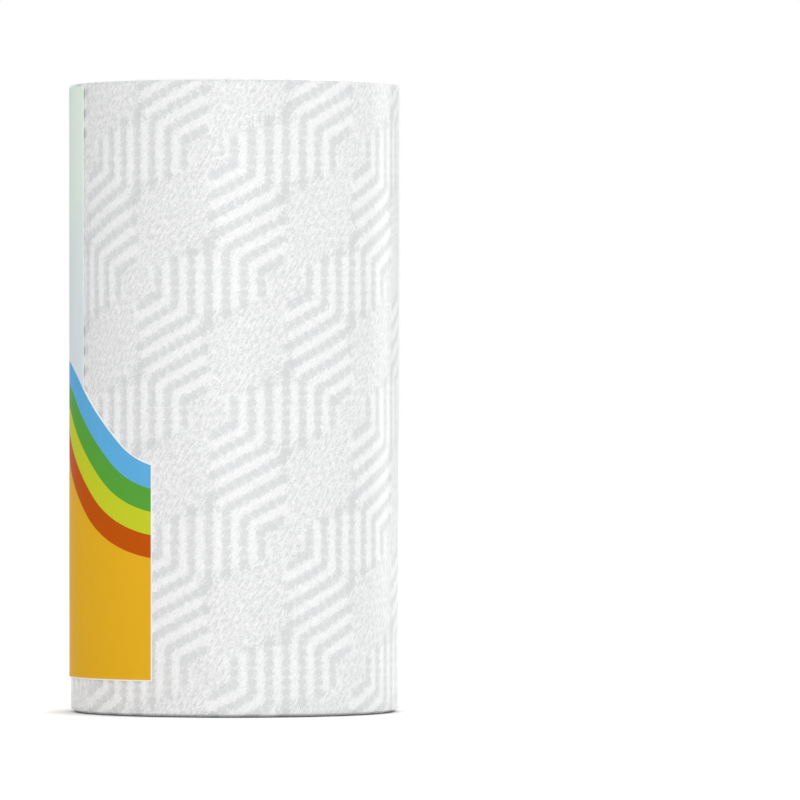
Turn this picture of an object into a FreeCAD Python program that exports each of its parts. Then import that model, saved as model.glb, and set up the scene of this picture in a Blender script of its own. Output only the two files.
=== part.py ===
"""A paper towel roll standing on its end, in a clear shrink film printed with colour bands.

Units are millimetres. The origin is on the roll's axis, on the surface that it stands on, and
+Z runs up the axis. The front of the roll faces -Y, and the middle of the print faces -X.
"""

import FreeCAD, Part
import math
import os

import Sketcher

PARTS_FOLDER = "parts"

# Each driving dimension: its name, its value in millimetres or degrees, and what it is.
DIMENSIONS = [
    ("core_bore_radius", 20.6, "inside radius of the cardboard core"),
    ("core_wall", 0.9, "wall of the core, two plies of board"),
    ("web_width", 279.4, "width of the towel web, which is the roll's height"),
    ("roll_radius", 73.0, "radius of the wound towel at its tail"),
    ("wound_turns", 16, "turns that are modelled"),
    ("turn_gap", 0.25, "air between one turn and the next"),
    ("lead_thickness", 0.8, "thickness of the web where it starts on the core"),
    ("tail_thickness", 0.7, "thickness of the web at its glued tail"),
    ("tail_angle", 60.0, "place of the tail, from +X towards the back"),
    ("core_clearance", 0.1, "gap between the core and the first turn"),
    ("film_thickness", 0.3, "thickness of the shrink film"),
    ("film_clearance", 0.1, "gap between the towel's edge and the start of the film's rim"),
    ("film_rim_bevel", 0.4, "inside bevel of the film where it turns over the ends"),
    ("film_end_lap", 24.8, "how far the film reaches in over each end of the roll"),
    ("seam_width", 12.0, "width of the film's lap seam at the back"),
    ("seam_thickness", 0.2, "height of the lap seam on the film"),
    ("seam_end_margin", 1.5, "distance of the lap seam from the film's ends"),
    ("ink_clearance", 0.08, "gap between the film and the printed colour fields"),
    ("ink_thickness", 0.1, "thickness of the printed colour fields"),
    ("panel_half_width", 79.0, "half width of the print, round the film"),
    ("panel_foot", 16.2, "height of the print's lower edge"),
    ("band_width", 10.0, "width of each colour band"),
    ("trough_height", 69.0, "lowest point of the amber field's upper edge"),
    ("trough_distance", 90.9, "way round the film from the print's middle to the trough"),
    ("trough_radius", 45.0, "radius of the uppermost band edge in the trough"),
    ("crest_radius", 8.0, "radius of the lowest band edge on the crest"),
    ("wave_slope", 40.6, "steepness of the bands between trough and crest, in degrees"),
    ("tint_half_width", 33.0, "half width of the pale panel above the bands"),
    ("tint_top_margin", 1.6, "distance of the pale panel from the film's top"),
]

FILM_RADIUS = (
    "(dimensions.roll_radius + dimensions.film_clearance + dimensions.film_rim_bevel"
    " + dimensions.film_thickness)"
)
FILM_HEIGHT = "(dimensions.web_width + 2 * dimensions.film_thickness)"
OUTER_BEVEL = "(dimensions.film_rim_bevel + (2 - sqrt(2)) * dimensions.film_thickness)"

BAND_NAMES = ["blue_band", "green_band", "lime_band", "red_band"]
POINTS_PER_STRETCH = 6
CUT_OVERLAP = 0.1
FULL_TURN = 360.0


def new_sheet(doc):
    """The spreadsheet that holds the driving dimensions."""
    sheet = doc.addObject("Spreadsheet::Sheet", "dimensions")
    for row, (alias, value, meaning) in enumerate(DIMENSIONS, start=1):
        sheet.set(f"A{row}", meaning)
        sheet.set(f"B{row}", str(value))
        sheet.setAlias(f"B{row}", alias)
    doc.recompute()
    return sheet


def film_radius(sheet):
    """Outside radius of the film."""
    inside = sheet.roll_radius + sheet.film_clearance + sheet.film_rim_bevel
    return inside + sheet.film_thickness


def ink_radius(sheet):
    """Inside radius of the printed fields."""
    return film_radius(sheet) + sheet.ink_clearance


def film_height(sheet):
    """Height of the film over both ends."""
    return sheet.web_width + 2 * sheet.film_thickness


def origin_plane(body, role):
    """One of a body's own origin planes."""
    return next(part for part in body.Origin.OriginFeatures if part.Role == role)


def new_sketch(body, name, role):
    """An empty sketch on one of the body's own origin planes."""
    sketch = body.newObject("Sketcher::SketchObject", name)
    sketch.AttachmentSupport = (origin_plane(body, role), [""])
    sketch.MapMode = "FlatFace"
    return sketch


def constrain(sketch, name, expression, *constraint):
    """Adds one dimension to a sketch and ties it to the spreadsheet."""
    index = sketch.addConstraint(Sketcher.Constraint(*constraint))
    sketch.renameConstraint(index, name)
    sketch.setExpression(f"Constraints.{name}", expression)


def circles_sketch(body, name, circles):
    """A sketch of circles round the axis, each with its radius tied to the spreadsheet."""
    sketch = new_sketch(body, name, "XY_Plane")
    for label, radius, expression in circles:
        geometry = Part.Circle(FreeCAD.Vector(), FreeCAD.Vector(0, 0, 1), radius)
        circle = sketch.addGeometry(geometry)
        sketch.addConstraint(Sketcher.Constraint("Coincident", circle, 3, -1, 1))
        constrain(sketch, label, expression, "Radius", circle, radius)
    return sketch


def make_core(doc, sheet):
    """The cardboard tube that the towel is wound on."""
    body = doc.addObject("PartDesign::Body", "core")
    body.Label = "core_tube"
    bore = sheet.core_bore_radius
    section = circles_sketch(body, "core_section", [
        ("bore", bore, "dimensions.core_bore_radius"),
        ("outside", bore + sheet.core_wall, "dimensions.core_bore_radius + dimensions.core_wall"),
    ])
    tube = body.newObject("PartDesign::Pad", "core_length")
    tube.Profile = (section, [""])
    tube.setExpression("Length", "dimensions.web_width")
    body.setExpression("Placement.Base.z", "dimensions.film_thickness")
    return body


def alternate(radii):
    """Signed places on the tail line, from the radii at each whole turn."""
    places = [radii[0]]
    for inner, outer in zip(radii, radii[1:]):
        places += [-(inner + outer) / 2, outer]
    return places


def spiral_edges(crossings):
    """A smooth spiral of half circles through places on one line, on its two sides in turn."""
    edges = []
    for step, (start, end) in enumerate(zip(crossings, crossings[1:])):
        side = 1 if step % 2 == 0 else -1
        middle = FreeCAD.Vector((start + end) / 2, side * abs(start - end) / 2, 0)
        arc = Part.Arc(FreeCAD.Vector(start, 0, 0), middle, FreeCAD.Vector(end, 0, 0))
        edges.append(arc.toShape())
    return edges


def make_towel(doc, sheet):
    """The wound towel: one web from its start on the core to its tail, with air between turns."""
    turns = int(sheet.wound_turns)
    first = sheet.core_bore_radius + sheet.core_wall + sheet.core_clearance
    second = first + sheet.lead_thickness + sheet.turn_gap
    last = sheet.roll_radius - sheet.tail_thickness
    pitch = (last - second) / (turns - 1)
    underside = [first] + [second + turn * pitch for turn in range(turns)]
    upper_side = [radius - sheet.turn_gap for radius in underside[1:]] + [sheet.roll_radius]

    edges = spiral_edges(alternate(underside)) + spiral_edges(alternate(upper_side))
    for inner, outer in ((underside[0], upper_side[0]), (underside[-1], upper_side[-1])):
        web_end = Part.LineSegment(FreeCAD.Vector(inner, 0, 0), FreeCAD.Vector(outer, 0, 0))
        edges.append(web_end.toShape())
    outline = Part.Wire(Part.__sortEdges__(edges))

    towel = doc.addObject("Part::Feature", "towel")
    towel.Label = "towel_roll"
    towel.Shape = Part.Face(outline).extrude(FreeCAD.Vector(0, 0, sheet.web_width))
    turned = FreeCAD.Rotation(FreeCAD.Vector(0, 0, 1), sheet.tail_angle)
    towel.Placement = FreeCAD.Placement(FreeCAD.Vector(0, 0, sheet.film_thickness), turned)
    return towel


def draw_seam_section(section, sheet):
    """The lap seam's section, a strip on the outside of the film that starts inside the film."""
    inside = film_radius(sheet) - sheet.film_thickness / 2
    outside = film_radius(sheet) + sheet.seam_thickness
    low = sheet.seam_end_margin
    high = film_height(sheet) - low
    corners = [(inside, low), (outside, low), (outside, high), (inside, high)]
    points = [FreeCAD.Vector(x, y, 0) for x, y in corners]
    sides = [
        section.addGeometry(Part.LineSegment(start, end))
        for start, end in zip(points, points[1:] + points[:1])
    ]
    for side, following in zip(sides, sides[1:] + sides[:1]):
        section.addConstraint(Sketcher.Constraint("Coincident", side, 2, following, 1))
    for side, direction in zip(sides, ["Horizontal", "Vertical"] * 2):
        section.addConstraint(Sketcher.Constraint(direction, side))
    lower, outer, upper = sides[:3]
    places = [
        ("inside", f"{FILM_RADIUS} - dimensions.film_thickness / 2", "DistanceX", lower, inside),
        ("outside", f"{FILM_RADIUS} + dimensions.seam_thickness", "DistanceX", outer, outside),
        ("low", "dimensions.seam_end_margin", "DistanceY", lower, low),
        ("high", f"{FILM_HEIGHT} - dimensions.seam_end_margin", "DistanceY", upper, high),
    ]
    for name, expression, direction, side, value in places:
        constrain(section, name, expression, direction, -1, 1, side, 1, value)


def make_film(doc, sheet):
    """The clear shrink film: a sleeve drawn in over both ends, with its lap seam at the back."""
    body = doc.addObject("PartDesign::Body", "film")
    body.Label = "film_sleeve"
    outside = film_radius(sheet)
    opening = outside - sheet.film_end_lap
    section = circles_sketch(body, "film_section", [
        ("outside", outside, FILM_RADIUS),
        ("opening", opening, f"{FILM_RADIUS} - dimensions.film_end_lap"),
    ])
    block = body.newObject("PartDesign::Pad", "film_block")
    block.Profile = (section, [""])
    block.setExpression("Length", FILM_HEIGHT)
    doc.recompute()

    rims = [
        f"Edge{number}"
        for number, edge in enumerate(block.Shape.Edges, start=1)
        if edge.isClosed() and edge.Curve.Radius > (outside + opening) / 2
    ]
    rim = body.newObject("PartDesign::Chamfer", "film_rims")
    rim.Base = (block, rims)
    rim.setExpression("Size", OUTER_BEVEL)
    doc.recompute()

    openings = [
        f"Face{number}"
        for number, face in enumerate(rim.Shape.Faces, start=1)
        if isinstance(face.Surface, Part.Cylinder) and face.Surface.Radius < (outside + opening) / 2
    ]
    sleeve = body.newObject("PartDesign::Thickness", "film_wall")
    sleeve.Base = (rim, openings)
    sleeve.Reversed = True
    sleeve.setExpression("Value", "dimensions.film_thickness")
    doc.recompute()

    seam_section = new_sketch(body, "seam_section", "YZ_Plane")
    draw_seam_section(seam_section, sheet)
    seam = body.newObject("PartDesign::Revolution", "seam")
    seam.Profile = (seam_section, [""])
    seam.ReferenceAxis = (seam_section, ["V_Axis"])
    seam.Midplane = True
    seam.setExpression("Angle", f"dimensions.seam_width / {FILM_RADIUS} * 180 / pi")
    return body


def wave(sheet, edge):
    """A band edge as a formula, and the places where its stretches meet.

    Edge 0 is the uppermost. Distances go round the film from the print's middle. The edges are
    parallel curves: an arc on the crest, a straight slope and an arc in the trough, all tangent.
    """
    lowest = len(BAND_NAMES)
    slope = math.radians(sheet.wave_slope)
    trough = sheet.trough_radius + edge * sheet.band_width
    crest = sheet.crest_radius + (lowest - edge) * sheet.band_width
    trough_centre = sheet.trough_height + sheet.trough_radius + lowest * sheet.band_width
    slope_start = sheet.trough_distance - trough * math.sin(slope)
    slope_end = crest * math.sin(slope)
    start_height = trough_centre - trough * math.cos(slope)
    end_height = start_height + (slope_start - slope_end) * math.tan(slope)
    crest_centre = end_height - crest * math.cos(slope)

    def height_at(distance):
        away = abs(distance)
        if away < slope_end:
            return crest_centre + math.sqrt(crest**2 - away**2)
        if away < slope_start:
            return end_height - (away - slope_end) * math.tan(slope)
        return trough_centre - math.sqrt(trough**2 - (sheet.trough_distance - away) ** 2)

    edge_end = sheet.panel_half_width + CUT_OVERLAP
    return height_at, [-edge_end, -slope_start, -slope_end, slope_end, slope_start, edge_end]


def wave_cut(sheet, edge):
    """A sheet that runs out from inside the film to past the ink, along one band edge."""
    height_at, stretches = wave(sheet, edge)

    def curve_at(radius, start, end):
        points = []
        for step in range(POINTS_PER_STRETCH + 1):
            distance = start + (end - start) * step / POINTS_PER_STRETCH
            angle = math.pi + distance / ink_radius(sheet)
            x, y = radius * math.cos(angle), radius * math.sin(angle)
            points.append(FreeCAD.Vector(x, y, height_at(distance)))
        curve = Part.BSplineCurve()
        curve.interpolate(points)
        return curve.toShape()

    inside = film_radius(sheet) - CUT_OVERLAP
    outside = ink_radius(sheet) + sheet.ink_thickness + CUT_OVERLAP
    faces = [
        Part.makeRuledSurface(curve_at(inside, *ends), curve_at(outside, *ends))
        for ends in zip(stretches, stretches[1:])
    ]
    return Part.makeShell(faces)


def ink_pieces(sheet, half_width, foot, top, edges):
    """A curved sheet of ink on the film, cut along band edges into pieces, the uppermost first."""
    inside = ink_radius(sheet)
    outside = inside + sheet.ink_thickness
    corners = [(inside, foot), (outside, foot), (outside, top), (inside, top), (inside, foot)]
    section = Part.Face(Part.makePolygon([FreeCAD.Vector(x, 0, z) for x, z in corners]))
    origin, axis = FreeCAD.Vector(), FreeCAD.Vector(0, 0, 1)
    half_angle = math.degrees(half_width / inside)
    section.rotate(origin, axis, FULL_TURN / 2 - half_angle)
    ink = section.revolve(origin, axis, 2 * half_angle)
    cut_ink = ink.generalFuse([wave_cut(sheet, edge) for edge in edges])[0]
    return sorted(cut_ink.Solids, key=lambda piece: -piece.CenterOfMass.z)


def make_prints(doc, sheet):
    """The four colour bands, the amber field under them and the pale panel above them."""
    top = film_height(sheet) - sheet.tint_top_margin
    every_edge = range(len(BAND_NAMES) + 1)
    panel = ink_pieces(sheet, sheet.panel_half_width, sheet.panel_foot, top, every_edge)
    tint = ink_pieces(sheet, sheet.tint_half_width, sheet.panel_foot, top, [0])[0]

    fields = []
    names = ["pale_panel", *BAND_NAMES, "amber_field"]
    for name, shape in zip(names, [tint, *panel[1:]]):
        field = doc.addObject("Part::Feature", name)
        field.Label = name
        field.Shape = shape
        fields.append(field)
    return fields


def check_document(doc, subparts):
    """Stops before anything is written if an object failed or a sub-part has no sound solid."""
    for item in doc.Objects:
        if "Invalid" in item.State or "Error" in item.State:
            raise RuntimeError(f"{item.Label} did not compute: {item.State}")
    for subpart in subparts:
        shape = subpart.Shape
        if shape.isNull() or not shape.isValid() or len(shape.Solids) != 1:
            raise RuntimeError(f"{subpart.Label} is not one sound solid")


def main():
    doc = FreeCAD.newDocument("paper_towel_roll")
    sheet = new_sheet(doc)
    subparts = [make_core(doc, sheet), make_towel(doc, sheet), make_film(doc, sheet)]
    subparts += make_prints(doc, sheet)
    doc.recompute()
    check_document(doc, subparts)
    os.makedirs(PARTS_FOLDER, exist_ok=True)
    for subpart in subparts:
        subpart.Shape.exportStep(os.path.join(PARTS_FOLDER, f"{subpart.Label}.step"))
        print(f"{subpart.Label}: {subpart.Shape.Volume / 1000:.2f} cm3")


main()
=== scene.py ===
"""A paper towel roll in its printed clear film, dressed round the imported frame.

The file is laid out as an add-on and run as a script. Lengths are in metres and in the frame's own
axes: the roll stands on Z = 0, its front faces -Y and the middle of its print faces -X.
"""

import math

import bmesh
import bpy
import numpy as np
from mathutils import Matrix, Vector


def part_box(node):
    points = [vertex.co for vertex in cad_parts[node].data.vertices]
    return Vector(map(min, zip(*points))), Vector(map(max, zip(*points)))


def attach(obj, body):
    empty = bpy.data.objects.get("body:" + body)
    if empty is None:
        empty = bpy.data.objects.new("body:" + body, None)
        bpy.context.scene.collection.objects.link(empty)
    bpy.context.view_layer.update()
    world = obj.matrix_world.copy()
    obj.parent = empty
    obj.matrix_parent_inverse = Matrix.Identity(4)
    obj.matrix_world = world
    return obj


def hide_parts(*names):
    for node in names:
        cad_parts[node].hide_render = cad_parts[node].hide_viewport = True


bl_info = {
    "name": "Paper towel roll",
    "version": (1, 0, 0),
    "blender": (4, 5, 0),
    "location": "View3D > Sidebar > Towel roll",
    "description": "Models the embossed web, the wound ends, the core and the printed film",
    "category": "Add Mesh",
}

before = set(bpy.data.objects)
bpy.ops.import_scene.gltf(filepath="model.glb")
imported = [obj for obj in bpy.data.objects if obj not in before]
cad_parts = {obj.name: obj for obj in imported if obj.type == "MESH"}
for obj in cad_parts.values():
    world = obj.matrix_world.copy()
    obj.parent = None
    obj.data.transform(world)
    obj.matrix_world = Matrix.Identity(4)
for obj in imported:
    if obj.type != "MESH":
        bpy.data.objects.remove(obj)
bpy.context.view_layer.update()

BODY = "root"
MM = 0.001
TURN = 2 * math.pi
FRONT_ANGLE = -TURN / 4
BACK_ANGLE = TURN / 4
PRINT_ANGLE = TURN / 2
SCREEN_GAMMA = 2.2
MERGE_DISTANCE = 0.002 * MM
SMOOTH_ANGLE = math.radians(35)

TOWEL_LOW, TOWEL_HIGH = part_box("towel_roll")
FILM_LOW, FILM_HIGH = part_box("film_sleeve")


def node_points(node):
    """A node's points as rows of radius, angle and height."""
    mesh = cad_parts[node].data
    points = np.empty(len(mesh.vertices) * 3)
    mesh.vertices.foreach_get("co", points)
    x, y, z = points.reshape(-1, 3).T
    return np.column_stack([np.hypot(x, y), np.arctan2(y, x) % TURN, z])


def tail_angle():
    """The angle of the towel's tail, where the web is furthest from the axis."""
    radius, angle, height = node_points("towel_roll").T
    return float(angle[np.argmax(radius)])


CORE_RADIUS = float(node_points("core_tube")[:, 0].max())
FILM_RADIUS = FILM_HIGH.x
OPENING_RADIUS = float(node_points("film_sleeve")[:, 0].min())
TAIL_ANGLE = tail_angle()


def linear(red, green, blue):
    """A colour that is given as it looks on a screen, from 0 to 255, as the shaders need it."""
    return tuple((value / 255) ** SCREEN_GAMMA for value in (red, green, blue))


def length(name, description, default):
    """A length that a user may change."""
    return bpy.props.FloatProperty(
        name=name, description=description, default=default, unit="LENGTH", precision=5
    )


def fraction(name, description, default):
    """A share from 0 to 1 that a user may change."""
    return bpy.props.FloatProperty(
        name=name, description=description, default=default, min=0, max=1
    )


def lamp_power(name, description, default):
    """A lamp's power that a user may change."""
    return bpy.props.FloatProperty(
        name=name, description=description, default=default, min=0, unit="POWER"
    )


def colour(name, description, default):
    """A colour that a user may change."""
    return bpy.props.FloatVectorProperty(
        name=name, description=description, default=default, subtype="COLOR", min=0, max=1
    )


class TowelSettings(bpy.types.PropertyGroup):
    """Sizes and colours of the wound towel."""

    film_gap: length("Film gap", "How far the web's surface lies under the print", 0.35 * MM)
    ply_pitch: length("Web thickness", "Thickness of the web, turn on turn", 0.5 * MM)
    columns: bpy.props.IntProperty(
        name="Columns", description="Faces round the outer turn", default=400, min=60
    )
    rows: bpy.props.IntProperty(
        name="Rows", description="Faces up the outer turn", default=240, min=40
    )
    end_segments: bpy.props.IntProperty(
        name="End segments", description="Faces round each turn at the roll's ends",
        default=128, min=32,
    )
    edge_groove: length("Edge groove", "Depth of the grooves between turns at the ends", 0.35 * MM)
    edge_wander: length("Edge wander", "How unevenly the turns' edges lie", 0.16 * MM)
    foot_rounding: length("Foot rounding", "Rounding of the roll's lower edge", 2.6 * MM)
    head_rounding: length("Head rounding", "Rounding of the roll's upper edge", 0.9 * MM)
    rounding_reach: length("Rounding reach", "How far in from the side the turns give way", 14 * MM)
    cell_width: length("Pattern width", "Distance between two hexagons side by side", 69.2 * MM)
    cell_rise: length("Pattern rise", "Height from one row of hexagons to the next", 57.0 * MM)
    first_hexagon: length("First hexagon", "Way round the front to a hexagon's centre", -10.0 * MM)
    hexagon_height: length("Hexagon height", "Height of that hexagon's centre", 247.7 * MM)
    bar_pitch: length("Bar pitch", "Distance between two embossed bars", 7.8 * MM)
    bar_length: length("Bar length", "Half length of the middle bar in a group", 18.6 * MM)
    bar_step: length("Bar step", "How much shorter each next bar is at each end", 4.3 * MM)
    dot_pitch: length("Dot pitch", "Distance between two dots along a bar", 4.3 * MM)
    dot_radius: length("Dot radius", "Radius of an embossed dot", 1.75 * MM)
    line_depth: fraction("Line depth", "A bar's depth between its dots, as a share of theirs", 0.6)
    stroke_pitch: length("Stroke pitch", "Distance between two rows of fine strokes", 2.8 * MM)
    stroke_angle: bpy.props.FloatProperty(
        name="Stroke angle", description="How steeply the fine strokes rise",
        default=math.radians(58), subtype="ANGLE",
    )
    emboss_depth: length("Emboss depth", "How far a dot is pressed in", 0.32 * MM)
    pillow_height: length("Pillow height", "How far the web swells between the bars", 0.12 * MM)
    paper: colour("Paper", "Colour of the web", linear(250, 250, 250))
    # The pressed colour is partly the pressed paper's own grey and partly painted shade, in the
    # embossed marks and in the lines between the turns at the ends
    pressed: colour("Pressed paper", "Colour of the embossed dots", linear(219, 220, 221))


class FilmSettings(bpy.types.PropertyGroup):
    """Sizes of the clear film and its print."""

    thickness: length("Thickness", "Thickness of the film", 0.1 * MM)
    foot_radius: length("Foot radius", "Radius of the film where it turns under the roll", 3.0 * MM)
    head_radius: length("Head radius", "Radius of the film where it turns over the roll", 1.2 * MM)
    pucker: length("Pucker", "Height of the puckers at the upper opening", 1.5 * MM)
    foot_pucker: length("Foot pucker", "Height of the puckers at the lower opening", 0.14 * MM)
    lip: length("Lip", "How far the upper opening's edge stands up", 0.9 * MM)
    slack: length("Slack", "How far the film's side sinks in between the tight places", 0.12 * MM)
    wander: length("Opening wander", "How far the opening's edge is from a true circle", 1.3 * MM)
    seam_width: length("Seam width", "Width of the lap seam at the back", 12.0 * MM)
    seam_height: length("Seam height", "Height of the lap seam on the film", 0.14 * MM)
    ink_height: length("Ink height", "How far the colours stand out from the film", 0.1 * MM)
    ground_depth: length("Ground depth", "How deep the pale inks reach, to the paper", 0.6 * MM)
    keyline: length("White margin", "How far the white ink shows round the colours", 0.6 * MM)
    gloss: fraction("Roughness", "Roughness of the film's gloss", 0.24)
    cover: fraction("Cover", "How much the film shows where it is seen straight on", 0.006)
    end_cover: fraction("End cover", "How much more the gathered film shows at the openings", 0.05)
    edge_cover: fraction("Edge cover", "How much more the film shows at its outline", 0.22)
    edge_power: bpy.props.FloatProperty(
        name="Edge power", description="How near the outline that starts", default=4.0, min=1
    )


class InkSettings(bpy.types.PropertyGroup):
    """Colours of the printed fields."""

    blue: colour("Blue", "Uppermost band", linear(99, 177, 228))
    green: colour("Green", "Second band", linear(91, 165, 65))
    lime: colour("Lime", "Third band", linear(200, 209, 50))
    red: colour("Red", "Lowest band", linear(194, 87, 23))
    amber: colour("Amber", "Field under the bands", linear(233, 178, 43))
    mint: colour("Mint", "Upper part of the pale panel", linear(231, 245, 235))
    sky: colour("Sky", "Lower part of the pale panel", linear(222, 232, 236))


class BoardSettings(bpy.types.PropertyGroup):
    """The cardboard core's look."""

    board: colour("Board", "Colour of the cardboard", linear(176, 152, 122))
    ply_rise: length("Ply rise", "Height that a wound ply climbs in one turn", 86.0 * MM)


class StudioSettings(bpy.types.PropertyGroup):
    """The camera's place and the light."""

    camera_distance: length("Camera distance", "From the roll's axis to the camera", 3.6015)
    camera_side: length("Camera side", "How far right of the axis the camera stands", 73.98 * MM)
    camera_height: length("Camera height", "Height of the camera over the floor", 139.25 * MM)
    lens: bpy.props.FloatProperty(
        name="Lens", description="Focal length for a sensor 36 mm wide", default=362.5,
        unit="CAMERA",
    )
    world_level: bpy.props.FloatProperty(
        name="World light", description="Strength of the even light from all round",
        default=0.66, min=0,
    )
    key_power: lamp_power("Key light", "Power of the large lamp at the right", 5.5)
    front_power: lamp_power("Front light", "Power of the large lamp over the camera", 66)
    rim_power: lamp_power("Rim light", "Power of the tall lamp behind, at the right", 5.5)
    top_power: lamp_power("Top light", "Power of the lamp over the back", 7)
    # A painted contact shadow: the floor's glow dims near the roll's foot
    contact_shadow_reach: length("Contact reach", "Reach of the dark line at the roll's foot", 22.0 * MM)
    contact_shadow_depth: bpy.props.FloatProperty(
        name="Contact depth", description="How fast the floor darkens towards the roll's foot",
        default=3.0, min=1,
    )
    floor_glow: bpy.props.FloatProperty(
        name="Floor level", description="White that the camera sees on the floor besides its light",
        default=0.6, min=0,
    )


# Nodes and meshes

# The sockets that a Mix node has for colours
MIX_FACTOR, MIX_FIRST, MIX_SECOND = 0, 6, 7
MIX_RESULT = 2


def add_node(tree, kind, inputs=None, **settings):
    """Adds a shader node. Each input takes a plain value or the output that feeds it."""
    node = tree.nodes.new("ShaderNode" + kind)
    for name, value in settings.items():
        setattr(node, name, value)
    for name, value in (inputs or {}).items():
        if isinstance(value, bpy.types.NodeSocket):
            tree.links.new(value, node.inputs[name])
        else:
            node.inputs[name].default_value = value
    return node


def reckon(tree, operation, *values):
    """The result of a Math node."""
    inputs = dict(enumerate(values))
    return add_node(tree, "Math", inputs, operation=operation).outputs[0]


def stepped(tree, value, start, end):
    """0 before start and 1 after end, with a smooth step between them."""
    inputs = {"Value": value, "From Min": start, "From Max": end}
    node = add_node(tree, "MapRange", inputs, interpolation_type="SMOOTHSTEP")
    return node.outputs["Result"]


def mixed(tree, factor, first, second):
    """Two colours mixed by a factor."""
    inputs = {MIX_FACTOR: factor, MIX_FIRST: (*first, 1), MIX_SECOND: (*second, 1)}
    return add_node(tree, "Mix", inputs, data_type="RGBA").outputs[MIX_RESULT]


def noise(tree, place, scale, detail=2.0, roughness=0.5):
    """A noise value round 0.5."""
    inputs = {"Vector": place, "Scale": scale, "Detail": detail, "Roughness": roughness}
    return add_node(tree, "TexNoise", inputs).outputs["Fac"]


def new_material(name):
    """An empty material, its node tree and its output node."""
    material = bpy.data.materials.new(name)
    material.use_nodes = True
    tree = material.node_tree
    tree.nodes.clear()
    return material, tree, add_node(tree, "OutputMaterial")


def show(tree, output, shader):
    """Links a shader to the material's output."""
    tree.links.new(shader.outputs[0], output.inputs["Surface"])


def object_place(tree):
    """The point on the piece, in metres."""
    return add_node(tree, "TexCoord").outputs["Object"]


def axis_distance(tree, place):
    """A point's distance from the roll's axis."""
    parts = add_node(tree, "SeparateXYZ", {0: place}).outputs
    flat = add_node(tree, "CombineXYZ", {0: parts["X"], 1: parts["Y"]}).outputs[0]
    return add_node(tree, "VectorMath", {0: flat}, operation="LENGTH").outputs["Value"]


def bumped(tree, height, distance):
    """A normal that follows a height between 0 and 1 of the given distance."""
    inputs = {"Height": height, "Distance": distance, "Strength": 1.0}
    return add_node(tree, "Bump", inputs).outputs["Normal"]


def new_sheet(name, columns, rows):
    """A flat grid of the given faces, with its points as shares of its width and its height."""
    bpy.ops.object.select_all(action="DESELECT")
    bpy.ops.mesh.primitive_grid_add(x_subdivisions=columns, y_subdivisions=rows, size=1)
    sheet = bpy.context.object
    sheet.name = name
    sheet.data.name = name
    points = np.empty(len(sheet.data.vertices) * 3)
    sheet.data.vertices.foreach_get("co", points)
    across, up, flat = points.reshape(-1, 3).T
    return sheet, across + 0.5, up + 0.5


def wrap_sheet(sheet, radius, angle, height):
    """Puts a sheet's points round the roll's axis."""
    points = np.column_stack([radius * np.cos(angle), radius * np.sin(angle), height])
    sheet.data.vertices.foreach_set("co", points.ravel())
    sheet.data.update()


def edit(piece, *steps):
    """Runs edit-mode steps on one piece, with all of it selected at first."""
    bpy.ops.object.select_all(action="DESELECT")
    piece.select_set(True)
    bpy.context.view_layer.objects.active = piece
    bpy.ops.object.mode_set(mode="EDIT")
    bpy.ops.mesh.select_all(action="SELECT")
    for step in steps:
        step()
    bpy.ops.object.mode_set(mode="OBJECT")


def merge_doubles():
    """Joins points that lie on one another."""
    bpy.ops.mesh.remove_doubles(threshold=MERGE_DISTANCE)


def face_outwards():
    """Turns all faces outwards."""
    bpy.ops.mesh.normals_make_consistent(inside=False)


def apply_modifier(piece, kind, **settings):
    """Adds a modifier and applies it."""
    bpy.context.view_layer.objects.active = piece
    modifier = piece.modifiers.new(kind.title(), kind)
    for name, value in settings.items():
        setattr(modifier, name, value)
    bpy.ops.object.modifier_apply(modifier=modifier.name)


def finish_piece(piece, material, slot, *nodes):
    """Smooths a piece, gives it its material and ties it to the frame."""
    bpy.ops.object.select_all(action="DESELECT")
    piece.select_set(True)
    bpy.context.view_layer.objects.active = piece
    bpy.ops.object.shade_smooth_by_angle(angle=SMOOTH_ANGLE)
    piece.data.materials.clear()
    piece.data.materials.append(material)
    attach(piece, BODY)
    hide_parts(*nodes)


# The embossed pattern

# How steeply the slanting bars rise, and how many bars a group has on each side of its middle one
BAR_SLOPE = math.radians(27.5)
BARS_ASIDE = 3

# Where a dot begins and where it has its full depth, in dot radii: in the mesh and in the colour
DOT_EDGE, DOT_MIDDLE = 1.35, 0.55
TINT_EDGE, TINT_MIDDLE = 1.55, 0.7

# How ragged the colour's edges are, and how often the pattern is softened to shape the swelling
RAGGED_REACH = 5.0 * MM
SOFTENING_RUNS = 6

# The fields without bars, between the groups and in the heart of a hexagon
BETWEEN_REACH = 29 * MM
HEART_REACH = 13 * MM
PLAIN_FADE = 4 * MM

# The fine strokes: distance along a row, each row's shift, and where side and tip fade in
STROKE_STEP = 5.4 * MM
STROKE_SHIFT = 2.3 * MM
STROKE_SIDE = (0.9 * MM, 0.4 * MM)
STROKE_TIP = (2.3 * MM, 1.7 * MM)
STROKE_FRAY = 0.5
STREAK_STRETCH = 0.3

# How much each part of the pattern darkens the paper, partly as pressed paper and partly as painted
# shade in the pressed marks, and how far it lies under the paper
BAR_TINT, STROKE_TINT, DEEPEST_TINT = 0.8, 0.22, 1.1
BAR_DROP, STROKE_DROP = 0.9, 0.5
STREAK_SHARE, FIBRE_SHARE, TISSUE_LEVEL = 3.2, 2.6, 2.5
TISSUE_ON_BARS = 0.55
MATT_PAPER = {"Roughness": 0.95, "Specular IOR Level": 0.15}


def bar_groups(towel):
    """The two groups of bars round each hexagon: the group's centre and the way its bars run."""
    across, down = towel.cell_width / 2, -towel.cell_rise / 2
    return [((across, 0.0), TURN / 4), ((across / 2, down), BAR_SLOPE)]


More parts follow.
